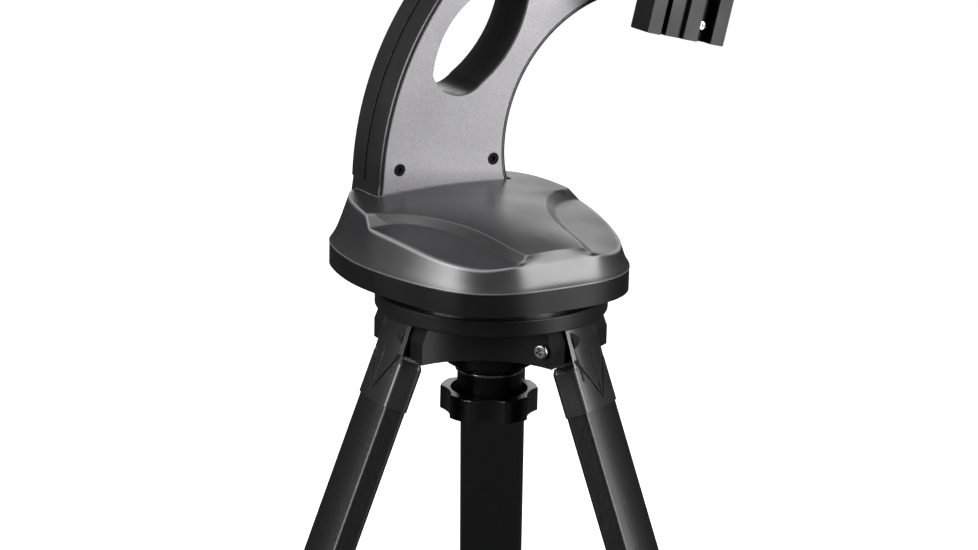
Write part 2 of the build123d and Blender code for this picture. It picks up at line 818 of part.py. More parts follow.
def make_altitude_motor():
    plane = Plane(origin=(-42.5, *altitude_pinion_spot()), x_dir=(0, 1, 0), z_dir=(1, 0, 0))
    with BuildPart() as motor:
        with BuildSketch(plane):
            Circle(12.0)
        extrude(amount=10.9)
        with BuildSketch(plane):
            Circle(1.5)
        extrude(amount=-8.5)
        fillet(motor.faces().sort_by(Axis.X)[-1].edges(), radius=1.0)
    finish(motor.part, "altitude_motor")


def make_clutch_knob():
    with BuildPart() as knob:
        with BuildSketch(across_altitude(-84.0)) as plan:
            Circle(23.0)
            with PolarLocations(30.5, 10):
                Circle(9.5, mode=Mode.SUBTRACT)
            fillet(plan.vertices(), radius=1.5)
        extrude(amount=19.5)
        fillet(knob.faces().sort_by(Axis.X)[0].edges(), radius=1.6)
        with BuildSketch(across_altitude(-80.0)):
            Circle(SHAFT_R + RUNNING)
        extrude(amount=20.0, mode=Mode.SUBTRACT)
    finish(knob.part, "clutch_knob")


# ---------------------------------------------------------------- saddle


def make_saddle_rotor():
    with BuildPart() as rotor:
        with BuildSketch(across_altitude(ROTOR_BACK)):
            Circle(ROTOR_R)
            Circle(SHAFT_R, mode=Mode.SUBTRACT)
        extrude(amount=-SEAT_PLATE - ROTOR_BACK)
        fillet(rotor.edges().filter_by(GeomType.CIRCLE).group_by(SortBy.RADIUS)[-1], radius=1.5)
    finish(rotor.part, "saddle_rotor")


def make_saddle_body():
    """Saddle plate with a raised seat pad between the jaws and a lug for the clamp screw."""
    seat_half = JAW_HALF_GAP - JAW_LIP - 0.5
    with BuildPart() as body:
        with BuildSketch(saddle_plane(-SEAT_PLATE)):
            with Locations((0, (LUG_TOP - 44.0) / 2)):
                RectangleRounded(2 * BLOCK_HALF, LUG_TOP + 44.0, 8.0)
        extrude(amount=SEAT_PLATE - SEAT_PAD)
        fillet(body.faces().sort_by(Axis.X)[0].edges(), radius=1.5)
        with BuildSketch(saddle_plane(-SEAT_PAD)):
            RectangleRounded(2 * BLOCK_HALF - 6.0, 2 * seat_half, 3.0)
        extrude(amount=SEAT_PAD)
        with BuildSketch(saddle_plane(-SEAT_PAD)):
            with Locations((0, (LUG_TOP + LUG_BOTTOM) / 2)):
                Rectangle(36.0, LUG_TOP - LUG_BOTTOM)
        extrude(amount=17.0)
        with BuildSketch(saddle_up_plane(CLAMP_X, 0, LUG_BOTTOM - 1)):
            Circle(CLAMP_R + 0.1)
        extrude(amount=LUG_TOP - LUG_BOTTOM + 2, mode=Mode.SUBTRACT)
        with BuildSketch(saddle_plane(-SEAT_PAD)):
            with Locations(*BLOCK_SCREWS):
                Circle(SCREW_R)
        extrude(amount=-8.0, mode=Mode.SUBTRACT)
    finish(body.part, "saddle_body")


def make_saddle_block():
    """Fixed lower jaw: upright ribs with deep channels between them, undercut for the dovetail."""
    top = -JAW_HALF_GAP
    height = top - BLOCK_BOTTOM
    middle = (top + BLOCK_BOTTOM) / 2
    back = -SEAT_PAD
    channels = ((-17.0, 6.0, 8.0), (-8.0, 12.0, 3.0), (14.6, 11.0, 8.0))
    profile = [
        (back, BLOCK_BOTTOM),
        (BLOCK_DEPTH, BLOCK_BOTTOM),
        (BLOCK_DEPTH, top + JAW_LIP),
        (0, top),
        (back, top),
    ]
    with BuildPart() as block:
        with BuildSketch(saddle_side_plane()):
            with BuildLine():
                Polyline(*profile, close=True)
            make_face()
        extrude(amount=BLOCK_HALF, both=True)
        fillet(block.edges().filter_by(Axis.X).sort_by(Axis.Z)[:2], radius=1.2)
        for along, width, depth in channels:
            with BuildSketch(saddle_plane(BLOCK_DEPTH)):
                with Locations((along, middle)):
                    Rectangle(width, height + 3 * JAW_LIP)
            extrude(amount=-depth, mode=Mode.SUBTRACT)
        with BuildSketch(saddle_plane(back)):
            with Locations(*BLOCK_SCREWS):
                Circle(SCREW_R)
        extrude(amount=BLOCK_DEPTH, mode=Mode.SUBTRACT)
    finish(block.part, "saddle_block")


def make_saddle_screws():
    with BuildPart() as screws:
        for along, up in BLOCK_SCREWS:
            plane = saddle_plane(BLOCK_DEPTH - 8.0)
            plane.origin = saddle_point(BLOCK_DEPTH - 8.0, along, up)
            add(pan_head(plane, SCREW_R, 17.0, 3.4, 2.4))
    finish(screws.part, "saddle_screws")


def make_saddle_jaw():
    """Moving upper jaw, undercut for the dovetail, with a socket for the clamp screw."""
    bottom = JAW_HALF_GAP
    top = JAW_HALF_GAP + JAW_H
    back = SLIP - SEAT_PAD
    profile = [(back, bottom), (0, bottom), (JAW_DEPTH, bottom - JAW_LIP), (JAW_DEPTH, top), (back, top)]
    with BuildPart() as jaw:
        with BuildSketch(saddle_side_plane()):
            with BuildLine():
                Polyline(*profile, close=True)
            make_face()
        extrude(amount=BLOCK_HALF - 2.0, both=True)
        fillet(jaw.edges().filter_by(Axis.X).sort_by(Axis.Z)[-2:], radius=1.5)
        with BuildSketch(saddle_up_plane(CLAMP_X, 0, JAW_HALF_GAP + JAW_H - 9.0)):
            Circle(CLAMP_R + RUNNING)
        extrude(amount=10.0, mode=Mode.SUBTRACT)
    finish(jaw.part, "saddle_jaw")


def make_jaw_clamp():
    start = JAW_HALF_GAP + JAW_H - 8.8
    with BuildPart() as screw:
        with BuildSketch(saddle_up_plane(CLAMP_X, 0, start)):
            Circle(CLAMP_R)
        extrude(amount=LUG_TOP + 20.0 - start)
    finish(screw.part, "jaw_screw")
    with BuildPart() as knob:
        with BuildSketch(saddle_up_plane(CLAMP_X, 0, LUG_TOP + 4.0)) as plan:
            Circle(15.0)
            with PolarLocations(20.0, 6):
                Circle(7.5, mode=Mode.SUBTRACT)
            fillet(plan.vertices(), radius=1.5)
            Circle(CLAMP_R, mode=Mode.SUBTRACT)
        extrude(amount=16.0)
    finish(knob.part, "jaw_knob")


# ---------------------------------------------------------------- legs


def leg_profile(grow):
    """Section of a leg: wide flat back, sloping sides and a slightly crowned front, grown all round."""
    wide = LEG_WIDE + grow
    narrow = LEG_NARROW + grow
    back = LEG_BACK - grow
    front = LEG_FRONT + grow
    with BuildSketch() as section:
        with BuildLine():
            Line((back, -wide), (front, -narrow))
            ThreePointArc((front, -narrow), (front + LEG_CROWN, 0), (front, narrow))
            Line((front, narrow), (back, wide))
            Line((back, wide), (back, -wide))
        make_face()
        fillet(section.vertices(), radius=max(LEG_ROUND + grow, LEG_ROUND_LEAST))
    return section.sketch


def leg_panel(azimuth):
    """Crowned outer panel of a fitting, reaching up over the ears to the flange."""
    sections = {PANEL_TOP: (17.0, 9.6, 12.4), PANEL_END: (17.4, 8.0, 11.0)}
    with BuildPart() as panel:
        for distance, (half, edge, crown) in sections.items():
            with BuildSketch(leg_plane(azimuth, distance)):
                with BuildLine():
                    Polyline((edge, half), (PANEL_BACK, half), (PANEL_BACK, -half), (edge, -half))
                    ThreePointArc((edge, -half), (crown, 0), (edge, half))
                make_face()
        loft()
    return panel.part


def fan_grooves(azimuth):
    """Cutters for three long pointed grooves that meet low on a fitting's outer panel."""
    face = leg_plane(azimuth, 0)
    meeting = face.from_local_coords((FAN_CROWN - 0.7, 0, FAN_BOTTOM))
    with BuildPart() as cutters:
        for side, start in FAN_TOPS:
            height = FAN_CROWN - 2.9 * (side / LEG_NARROW) ** 2
            top = face.from_local_coords((height, side, start))
            run = meeting - top
            outward = run.cross(face.x_dir).cross(run)
            with BuildSketch(Plane(origin=top, x_dir=run, z_dir=outward).offset(-FAN_DEPTH)):
                with BuildLine():
                    tip = run.length
                    Polyline((-1.2, 0), (0, 1.2), (tip, 0.4), (tip, -0.4), (0, -1.2), close=True)
                make_face()
            extrude(amount=FAN_DEPTH + 3.0)
    return cutters.part


def make_leg_fitting(number, azimuth):
    with BuildPart() as fitting:
        with BuildSketch(leg_side_plane(azimuth, -TONGUE_HALF)):
            Circle(TONGUE_R)
            with Locations(((LEG_FRONT + LEG_BACK) / 2 + 1, -13.0)):
                Rectangle(LEG_FRONT - LEG_BACK + 3, 26.0)
        extrude(amount=2 * TONGUE_HALF)
        with BuildSketch(leg_plane(azimuth, SHOULDER)):
            add(leg_profile(-1.0))
        with BuildSketch(leg_plane(azimuth, SHOULDER_END)):
            add(leg_profile(FITTING_PROUD))
        loft()
        with BuildSketch(leg_plane(azimuth, SHOULDER_END)):
            add(leg_profile(FITTING_PROUD))
        extrude(amount=FITTING_END - SHOULDER_END)
        add(leg_panel(azimuth))
        with BuildSketch(leg_plane(azimuth, FITTING_END)):
            add(leg_profile(-LEG_WALL - 0.1))
        extrude(amount=PLUG_END - FITTING_END)
        with BuildSketch(leg_side_plane(azimuth, -TONGUE_HALF - 1)):
            Circle(BOLT_R + RUNNING)
        extrude(amount=2 * TONGUE_HALF + 2, mode=Mode.SUBTRACT)
        add(fan_grooves(azimuth), mode=Mode.SUBTRACT)
    finish(fitting.part, f"leg_fitting_{number}")


def make_leg_tube(number, azimuth):
    with BuildPart() as tube:
        with BuildSketch(leg_plane(azimuth, FITTING_END)):
            add(leg_profile(0))
            add(leg_profile(-LEG_WALL), mode=Mode.SUBTRACT)
        extrude(amount=TUBE_END - FITTING_END)
    finish(tube.part, f"leg_tube_{number}")


def make_leg_collar(number, azimuth):
    with BuildPart() as collar:
        with BuildSketch(leg_plane(azimuth, COLLAR_START)):
            add(leg_profile(COLLAR_T))
            add(leg_profile(0.1), mode=Mode.SUBTRACT)
        extrude(amount=TUBE_END + 0.3 - COLLAR_START)
        with BuildSketch(leg_plane(azimuth, TUBE_END + 0.3)):
            add(leg_profile(COLLAR_T))
            add(leg_profile(-LEG_WALL), mode=Mode.SUBTRACT)
        extrude(amount=COLLAR_END - TUBE_END - 0.3)
        with BuildSketch(lock_plane(azimuth, LEG_FRONT + LEG_CROWN)):
            Circle(9.0)
        extrude(amount=8.0)
        with BuildSketch(lock_plane(azimuth, LEG_FRONT)):
            Circle(3.0 + RUNNING)
        extrude(amount=20.0, mode=Mode.SUBTRACT)
    finish(collar.part, f"leg_collar_{number}")


def lock_plane(azimuth, outward):
    """Plane facing out of a leg at its lock screw, this far out from the leg's middle."""
    across = leg_plane(azimuth, LOCK_S)
    origin = across.origin + across.x_dir * outward
    return Plane(origin=origin, x_dir=across.y_dir, z_dir=across.x_dir)


def make_leg_lock(number, azimuth):
    face = LEG_FRONT + LEG_CROWN + 8.2
    with BuildPart() as lock:
        with BuildSketch(lock_plane(azimuth, face)) as plan:
            Circle(13.0)
            with PolarLocations(17.5, 5):
                Circle(7.0, mode=Mode.SUBTRACT)
            fillet(plan.vertices(), radius=1.2)
        extrude(amount=12.0)
        with BuildSketch(lock_plane(azimuth, face)):
            Circle(3.0)
        extrude(amount=-8.5)
    finish(lock.part, f"leg_lock_{number}")


def make_lower_leg(number, azimuth):
    outer = -LEG_WALL - LOWER_GAP
    with BuildPart() as lower:
        with BuildSketch(leg_plane(azimuth, LOWER_START)):
            add(leg_profile(outer))
            add(leg_profile(outer - LEG_WALL), mode=Mode.SUBTRACT)
        extrude(amount=LOWER_END - LOWER_START)
    finish(lower.part, f"lower_leg_{number}")


def floor_height():
    """Floor level, as a row-frame height."""
    return DECK_Z + HINGE_Z - (FOOT_END - 8.0) * cos(radians(SPLAY))


def make_leg_foot(number, azimuth):
    outer = -LEG_WALL - LOWER_GAP
    with BuildPart() as foot:
        with BuildSketch(leg_plane(azimuth, FOOT_START)):
            add(leg_profile(1.0))
            add(leg_profile(outer + 0.1), mode=Mode.SUBTRACT)
        extrude(amount=LOWER_END - FOOT_START)
        with BuildSketch(leg_plane(azimuth, LOWER_END)):
            add(leg_profile(1.0))
        extrude(amount=FOOT_END - LOWER_END)
        split(bisect_by=Plane.XY.offset(floor_height()), keep=Keep.TOP)
    finish(foot.part, f"leg_foot_{number}")


# ---------------------------------------------------------------- build


def main():
    os.makedirs("parts", exist_ok=True)
    make_tripod_hub()
    make_neck_ring()
    make_leg_bolts()
    make_star_knob()
    make_coupling_bolt()
    make_bearing_plate()
    make_thrust_washer()
    make_azimuth_gear()
    make_spindle_nut()
    make_azimuth_pinion()
    make_azimuth_motor()
    make_drive_board()
    make_base_pan()
    make_board_posts()
    make_base_cover()
    make_arm()
    make_arm_cover()
    make_foot_screws()
    make_altitude_bushes()
    make_altitude_shaft()
    make_altitude_gear()
    make_altitude_pinion()
    make_altitude_motor()
    make_clutch_knob()
    make_saddle_rotor()
    make_saddle_body()
    make_saddle_block()
    make_saddle_screws()
    make_saddle_jaw()
    make_jaw_clamp()
    for number, azimuth in enumerate(LEG_AZIMUTHS, start=1):
        make_leg_fitting(number, azimuth)
        make_leg_tube(number, azimuth)
        make_leg_collar(number, azimuth)
        make_leg_lock(number, azimuth)
        make_lower_leg(number, azimuth)
        make_leg_foot(number, azimuth)


main()
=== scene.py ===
"""Looks for the alt-azimuth mount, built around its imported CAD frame.

Every CAD node keeps its shape and gets a procedural material. The sculpted base cover replaces its
plain CAD stand-in. Lengths named in millimetres are turned into Blender's metres with MM.
"""

import json
import math

import bmesh
import bpy
from mathutils import Matrix, Vector


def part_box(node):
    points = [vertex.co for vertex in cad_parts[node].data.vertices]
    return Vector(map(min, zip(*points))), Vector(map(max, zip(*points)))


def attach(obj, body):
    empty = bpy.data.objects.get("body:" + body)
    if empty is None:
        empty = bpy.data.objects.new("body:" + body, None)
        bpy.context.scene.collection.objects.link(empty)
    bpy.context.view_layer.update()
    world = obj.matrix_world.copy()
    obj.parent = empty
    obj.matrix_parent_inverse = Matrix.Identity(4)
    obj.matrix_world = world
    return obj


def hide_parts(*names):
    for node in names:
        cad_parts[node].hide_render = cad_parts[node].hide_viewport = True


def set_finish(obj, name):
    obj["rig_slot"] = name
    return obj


MM = 0.001

# The camera's place in millimetres and its line of sight, both in the part's own frame, and its roll in
# degrees; then its lens and sensor width in millimetres, and its nearest and farthest sight in metres.
CAMERA_AT = (1536.5, -1099.1, 313.3)
CAMERA_FORWARD = (-0.8166, 0.5063, -0.2772)
CAMERA_ROLL = 1.386
LENS = 110.43
SENSOR = 36.0
SIGHT = (0.05, 100.0)

# Brightness of the room around the object: what lights it, and the white backdrop the camera sees.
WORLD_LIGHT = 0.12
BACKDROP = 1.1
# The floor's side in metres, and what the camera sees of it: its grey and its own glow.
FLOOR_SIDE = 60.0
FLOOR_TONE = 0.80
FLOOR_GLOW = 0.80
# Light the floor throws back at the object, kept low so that black parts stay black.
FLOOR_BOUNCE = 0.06

# Soft lights, in metres: where each stands, its width and height, and its power in watts.
LIGHTS_AIM = (0.0, -0.12, -0.2)
LIGHTS = {
    "overhead": ((-0.1, -0.2, 1.9), (1.4, 1.4), 16.0),
    "left": ((0.0, -2.2, 0.75), (1.0, 2.0), 95.0),
    "right": ((1.9, 1.2, 0.25), (1.0, 2.2), 95.0),
    "behind": ((-2.0, 1.3, 0.6), (1.4, 1.0), 9.0),
}

# Moulded plastics: grey tone, roughness, size and depth of the grain in millimetres, tone of rubbed
# edges, and strength of the mirror-like part of the sheen.
PLASTICS = {
    "black_plastic": (0.005, 0.38, 0.5, 0.010, 0.02, 0.22),
    "smooth_plastic": (0.009, 0.32, 0.7, 0.005, 0.04, 0.5),
    "knob_plastic": (0.003, 0.28, 0.6, 0.008, 0.02, 0.5),
    "white_plastic": (0.70, 0.45, 0.9, 0.01, 0.80, 0.5),
}
# Bare metals: colour, roughness, and depth of the turning marks in millimetres.
METALS = {
    "steel": ((0.52, 0.52, 0.53), 0.25, 0.008),
    "bright_screw": ((0.34, 0.34, 0.35), 0.22, 0.004),
    "black_screw": ((0.008, 0.008, 0.008), 0.5, 0.01),
    "brass": ((0.72, 0.55, 0.25), 0.25, 0.008),
}
# Samples a shader takes to feel for an edge.
EDGE_SAMPLES = 4

LEGS = (1, 2, 3)

# The azimuth axis and the top of the tripod's flange, in the part's frame.
AZIMUTH_AXIS = (30.0, -163.0)
FLANGE_TOP = -206.0

# Half of the base cover, front to rear, measured from the azimuth axis and the flange top. Each station
# gives the rim (n, f), then the skirt's top edge, the foot of the scoop's wall and the edge of the
# raised spine (n, f, z), then where on the middle line its strip ends (n).
COVER_STATIONS = [
    ((81.0, 0.0), (74.3, 0.0, 34.8), (72.6, 0.0, 38.0), (70.9, 0.0, 41.3), 52.0),
    ((80.6, 13.0), (74.2, 12.8, 34.6), (72.5, 12.6, 37.7), (70.7, 12.4, 40.9), 49.0),
    ((80.2, 23.5), (74.2, 24.6, 35.0), (73.6, 24.8, 36.6), (70.4, 20.0, 40.3), 46.0),
    ((78.8, 31.5), (73.4, 31.0, 35.3), (69.8, 27.2, 36.7), (64.8, 21.4, 41.1), 42.0),
    ((75.8, 42.0), (70.0, 41.0, 33.7), (60.0, 29.2, 37.9), (54.5, 23.4, 42.6), 37.0),
    ((70.0, 52.5), (64.6, 50.2, 33.1), (46.5, 30.6, 39.4), (41.0, 24.9, 44.2), 30.0),
    ((61.0, 61.5), (54.6, 58.6, 34.3), (32.5, 32.8, 40.8), (27.5, 26.8, 45.6), 22.0),
    ((45.0, 70.2), (39.5, 65.4, 35.8), (18.5, 36.4, 42.1), (13.0, 30.8, 46.8), 13.0),
    ((25.0, 77.0), (20.5, 70.2, 38.4), (5.0, 42.6, 43.0), (0.5, 37.0, 47.6), 4.0),
    ((5.0, 81.4), (3.0, 73.4, 40.3), (-5.5, 49.6, 43.6), (-11.0, 44.4, 48.1), -6.0),
    ((-10.0, 83.4), (-9.5, 75.4, 41.2), (-12.4, 57.5, 44.0), (-18.5, 51.4, 48.3), -14.0),
    ((-22.0, 84.2), (-19.5, 76.2, 41.8), (-17.0, 66.0, 44.2), (-23.4, 59.5, 48.4), -22.0),
    ((-31.0, 83.9), (-28.6, 73.0, 48.3), (-26.6, 69.5, 48.5), (-25.8, 66.0, 48.5), -28.0),
    ((-45.0, 82.3), (-42.5, 71.2, 49.2), (-40.5, 67.0, 49.3), (-38.5, 62.0, 49.3), -37.0),
    ((-59.0, 79.5), (-55.5, 68.4, 49.8), (-53.0, 63.5, 49.9), (-50.5, 57.0, 49.9), -45.0),
    ((-73.0, 74.8), (-67.3, 64.4, 50.0), (-63.8, 59.0, 50.1), (-60.5, 53.0, 50.1), -53.0),
    ((-84.0, 68.2), (-76.2, 58.6, 50.0), (-71.6, 52.8, 50.1), (-66.5, 46.0, 50.1), -59.0),
    ((-92.8, 57.8), (-83.2, 50.0, 49.8), (-77.6, 44.6, 50.0), (-71.5, 38.5, 50.0), -64.0),
    ((-98.4, 46.0), (-87.8, 40.4, 49.6), (-81.6, 35.6, 49.9), (-75.5, 30.5, 50.0), -68.0),
    ((-101.4, 30.5), (-90.2, 27.0, 49.4), (-84.0, 23.6, 49.8), (-77.8, 20.0, 50.0), -70.0),
    ((-102.7, 15.0), (-91.2, 13.4, 49.3), (-85.2, 11.8, 49.8), (-79.0, 10.0, 50.0), -71.0),
    ((-103.0, 0.0), (-91.4, 0.0, 49.3), (-85.6, 0.0, 49.8), (-79.4, 0.0, 50.0), -72.0),
]
# The ring of the cage that follows the spine's edge, counted from the rim, and the station at the
# spine's front corner.
SPINE_RING = 7
SPINE_CORNER = 2
# The rim's height over the flange top, the height of the upright lip along it, and the wall.
COVER_RIM = 20.0
COVER_LIP = 0.6
COVER_WALL = 2.2
# Angle in degrees above which an edge of the cover is shaded sharp, and how finely its cage is divided.
COVER_SHARP = 24.0
COVER_LEVELS = 3
# Two rings of the skirt, as shares of the way from the rim to its top edge: inward, then upward.
SKIRT_FLARE = (0.34, 0.20)
SKIRT_WAIST = (0.70, 0.62)
# Where the scoop's middle ring lies between its outer edge and the foot of its wall.
SCOOP_MIDDLE = 0.45
# Where the rings on the spine lie between its edge and the middle line.
SPINE_SHARES = (0.12, 0.5, 1.0)
# The spine's edge climbs as a parabola up to SPINE_PLATEAU, and then a little more to the rear. How far
# back a place is counts from SPINE_FRONT, in lengths of SPINE_UNIT. Heights are in millimetres.
SPINE_FRONT = 70.0
SPINE_UNIT = 100.0
SPINE_CLIMB = (40.2, 16.7, -8.5)
SPINE_PLATEAU = 0.98
PLATEAU_HEIGHT = 48.4
PLATEAU_RISE = 1.6
PLATEAU_RUN = 0.3
# How far the spine is domed over its edges at the front, how much more behind, and the run between.
FRONT_DOME = 1.2
DOME_GAIN = 1.4
DOME_RUN = 0.25
# How sharply each ring of the cover's cage is creased, from the rim up, and the first and last station
# between which it is.
LAST_STATION = len(COVER_STATIONS) - 1
COVER_CREASES = {
    0: (1.0, 0, LAST_STATION),
    1: (0.8, 0, LAST_STATION),
    4: (0.93, 2, LAST_STATION),
    6: (0.93, 2, 12),
    SPINE_RING: (0.96, 0, 13),
}
# Stations creased across the rings, at the scoop's front and rear ends: first ring and sharpness.
STATION_CREASES = {2: (6, 0.95), 11: (4, 0.93), 12: (4, 0.96)}
# The hole for the arm's foot: lowest and highest corner, from the azimuth axis.
ARM_HOLE = ((-94.8, -50.2), (-55.3, 48.3))
# Points of the cage closer than this are one point, and a point this close to a cut lies on it.
WELD = 0.02
CUT_REACH = 1e-4


# ---------------------------------------------------------------- materials


class Shader:
    """A node material under construction: a Principled shader and short ways to feed it."""

    def __init__(self, name, colour, roughness, metallic=0.0):
        self.material = bpy.data.materials.new(name)
        self.material.use_nodes = True
        self.tree = self.material.node_tree
        self.tree.nodes.clear()
        self.surface = self.tree.nodes.new("ShaderNodeBsdfPrincipled")
        output = self.tree.nodes.new("ShaderNodeOutputMaterial")
        self.join(self.surface.outputs[0], output.inputs["Surface"])
        self.surface.inputs["Base Color"].default_value = (*colour, 1.0)
        self.surface.inputs["Roughness"].default_value = roughness
        self.surface.inputs["Metallic"].default_value = metallic
        self.place = self.tree.nodes.new("ShaderNodeTexCoord").outputs["Object"]

    def join(self, source, target):
        self.tree.links.new(source, target)

    def stretched(self, sizes):
        """Object coordinates scaled so that one texture cell measures sizes, in millimetres."""
        mapping = self.tree.nodes.new("ShaderNodeMapping")
        mapping.inputs["Scale"].default_value = [1.0 / (size * MM) for size in sizes]
        self.join(self.place, mapping.inputs["Vector"])
        return mapping.outputs["Vector"]

    def noise(self, sizes, detail=3.0):
        """A noise field, 0 to 1, whose cells measure sizes millimetres along X, Y and Z."""
        node = self.tree.nodes.new("ShaderNodeTexNoise")
        node.inputs["Scale"].default_value = 1.0
        node.inputs["Detail"].default_value = detail
        self.join(self.stretched(sizes), node.inputs["Vector"])
        return node.outputs["Fac"]

    def spread(self, value, low, high, start=0.3, end=0.7):
        """value from start..end mapped to low..high."""
        node = self.tree.nodes.new("ShaderNodeMapRange")
        node.inputs["From Min"].default_value = start
        node.inputs["From Max"].default_value = end
        node.inputs["To Min"].default_value = low
        node.inputs["To Max"].default_value = high
        self.join(value, node.inputs["Value"])
        return node.outputs["Result"]

    def blend_colours(self, amount, first, second):
        """A colour running from first, a colour or a socket, to the colour second with amount."""
        node = self.tree.nodes.new("ShaderNodeMix")
        node.data_type = "RGBA"
        node.inputs["B"].default_value = (*second, 1.0)
        self.join(amount, node.inputs["Factor"])
        if isinstance(first, tuple):
            node.inputs["A"].default_value = (*first, 1.0)
        else:
            self.join(first, node.inputs["A"])
        return node.outputs["Result"]

    def scaled(self, value, factor):
        """value times factor."""
        node = self.tree.nodes.new("ShaderNodeMath")
        node.operation = "MULTIPLY"
        self.join(value, node.inputs[0])
        node.inputs[1].default_value = factor
        return node.outputs[0]

    def edges(self, radius):
        """1 on worn outside edges, 0 on open faces: how far a bevelled normal leaves the true one."""
        bevel = self.tree.nodes.new("ShaderNodeBevel")
        bevel.samples = EDGE_SAMPLES
        bevel.inputs["Radius"].default_value = radius * MM
        geometry = self.tree.nodes.new("ShaderNodeNewGeometry")
        dot = self.tree.nodes.new("ShaderNodeVectorMath")
        dot.operation = "DOT_PRODUCT"
        self.join(bevel.outputs["Normal"], dot.inputs[0])
        self.join(geometry.outputs["Normal"], dot.inputs[1])
        return self.spread(dot.outputs["Value"], 1.0, 0.0, start=0.70, end=0.94)

    def relief(self, height, depth, rounding=0.35):
        """Bump of depth millimetres from height, over edges rounded by rounding millimetres."""
        bevel = self.tree.nodes.new("ShaderNodeBevel")
        bevel.samples = EDGE_SAMPLES
        bevel.inputs["Radius"].default_value = rounding * MM
        bump = self.tree.nodes.new("ShaderNodeBump")
        bump.inputs["Strength"].default_value = 1.0
        bump.inputs["Distance"].default_value = depth * MM
        self.join(height, bump.inputs["Height"])
        self.join(bevel.outputs["Normal"], bump.inputs["Normal"])
        self.join(bump.outputs["Normal"], self.surface.inputs["Normal"])

    def colour(self, socket):
        self.join(socket, self.surface.inputs["Base Color"])

    def roughness(self, socket):
        self.join(socket, self.surface.inputs["Roughness"])


def moulded(name, tone, shine, grain_size, grain_depth, worn, gloss):
    """Moulded plastic: fine grain, uneven sheen, and edges rubbed a little lighter and smoother."""
    shader = Shader(name, (tone, tone, tone), shine)
    shader.surface.inputs["Specular IOR Level"].default_value = gloss
    grain = shader.noise((grain_size,) * 3, detail=2.0)
    clouds = shader.noise((35.0, 35.0, 35.0), detail=4.0)
    edge_wear_and_painted_highlight = shader.edges(0.9)
    dull = (tone * 0.85, tone * 0.85, tone * 0.88)
    fresh = (tone * 1.15, tone * 1.15, tone * 1.15)
    body = shader.blend_colours(shader.spread(clouds, 0.0, 1.0), dull, fresh)
    shader.colour(shader.blend_colours(shader.scaled(edge_wear_and_painted_highlight, 0.5), body, (worn, worn, worn)))
    shader.roughness(shader.spread(clouds, shine - 0.05, shine + 0.06))
    shader.relief(grain, grain_depth)
    return shader.material


def cover_plastic():
    """The sculpted cover's plastic: a broad satin sheen, and a painted highlight that makes its ridges
    brighter along their crests.
    """
    black = (0.010, 0.010, 0.011)
    shader = Shader("cover_plastic", black, roughness=0.38)
    shader.surface.inputs["Specular IOR Level"].default_value = 0.75
    clouds = shader.noise((40.0, 40.0, 40.0), detail=4.0)
    grain = shader.noise((0.6, 0.6, 0.6), detail=2.0)
    crest = shader.tree.nodes.new("ShaderNodeNewGeometry").outputs["Pointiness"]
    # Painted highlight: convex crests, found by the mesh's pointiness, are painted a lighter grey,
    # standing in for light caught along their rounding.
    edge_wear_and_painted_highlight = shader.spread(crest, 0.0, 1.0, start=0.503, end=0.535)
    shader.colour(shader.blend_colours(edge_wear_and_painted_highlight, black, (0.16, 0.16, 0.165)))
    shader.roughness(shader.spread(clouds, 0.33, 0.42))
    shader.relief(grain, 0.006)
    return shader.material


def speckled_paint():
    """Grey metallic paint: fine flecks in a satin coat, with a slow drift in tone."""
    shader = Shader("grey_paint", (0.2, 0.2, 0.2), roughness=0.40, metallic=0.35)
    flecks = shader.noise((0.45, 0.45, 0.45), detail=2.0)
    clouds = shader.noise((60.0, 60.0, 60.0), detail=3.0)
    amount = shader.spread(flecks, 0.0, 1.0, start=0.40, end=0.75)
    shader.colour(shader.blend_colours(amount, (0.125, 0.122, 0.131), (0.225, 0.22, 0.235)))
    shader.roughness(shader.spread(clouds, 0.36, 0.46))
    shader.relief(flecks, 0.012)
    return shader.material


def anodised(name, tone, shine):
    """Black anodised aluminium, drawn along its length, with faint streaks and bright worn edges."""
    shader = Shader(name, (tone, tone, tone), shine, metallic=0.2)
    streaks = shader.noise((0.8, 0.8, 60.0), detail=3.0)
    worn = tone * 3.0
    edge_wear_and_painted_highlight = shader.scaled(shader.edges(0.7), 0.3)
    shader.colour(shader.blend_colours(edge_wear_and_painted_highlight, (tone, tone, tone * 1.04), (worn, worn, worn)))
    shader.roughness(shader.spread(streaks, shine - 0.05, shine + 0.08))
    shader.relief(streaks, 0.0008)
    return shader.material


def machined(name, colour, shine, scratch_depth):
    """Bare metal with fine turning marks and a dull cast here and there."""
    shader = Shader(name, colour, shine, metallic=1.0)
    marks = shader.noise((6.0, 6.0, 0.15), detail=2.0)
    clouds = shader.noise((12.0, 12.0, 12.0), detail=3.0)
    darker = tuple(0.8 * c for c in colour)
    shader.colour(shader.blend_colours(shader.spread(clouds, 0.0, 1.0), darker, colour))
    shader.roughness(shader.spread(marks, shine, shine + 0.12))
    shader.relief(marks, scratch_depth, rounding=0.2)
    return shader.material


def rubber():
    """Dull black rubber with pale dust in patches."""
    shader = Shader("rubber", (0.02, 0.02, 0.02), roughness=0.75)
    dust = shader.noise((4.0, 4.0, 4.0), detail=4.0)
    dusty = shader.spread(dust, 0.0, 1.0, start=0.5, end=0.8)
    shader.colour(shader.blend_colours(dusty, (0.016, 0.016, 0.016), (0.05, 0.05, 0.048)))
    shader.relief(shader.noise((0.6, 0.6, 0.6)), 0.04)
    return shader.material


def circuit_board():
    """Green lacquer over a mottled pattern of copper ground."""
    shader = Shader("board", (0.02, 0.12, 0.05), roughness=0.3)
    copper = shader.noise((3.0, 3.0, 3.0), detail=0.0)
    tracks = shader.spread(copper, 0.0, 1.0, start=0.48, end=0.52)
    shader.colour(shader.blend_colours(tracks, (0.012, 0.09, 0.035), (0.03, 0.16, 0.06)))
    shader.relief(copper, 0.02)
    return shader.material


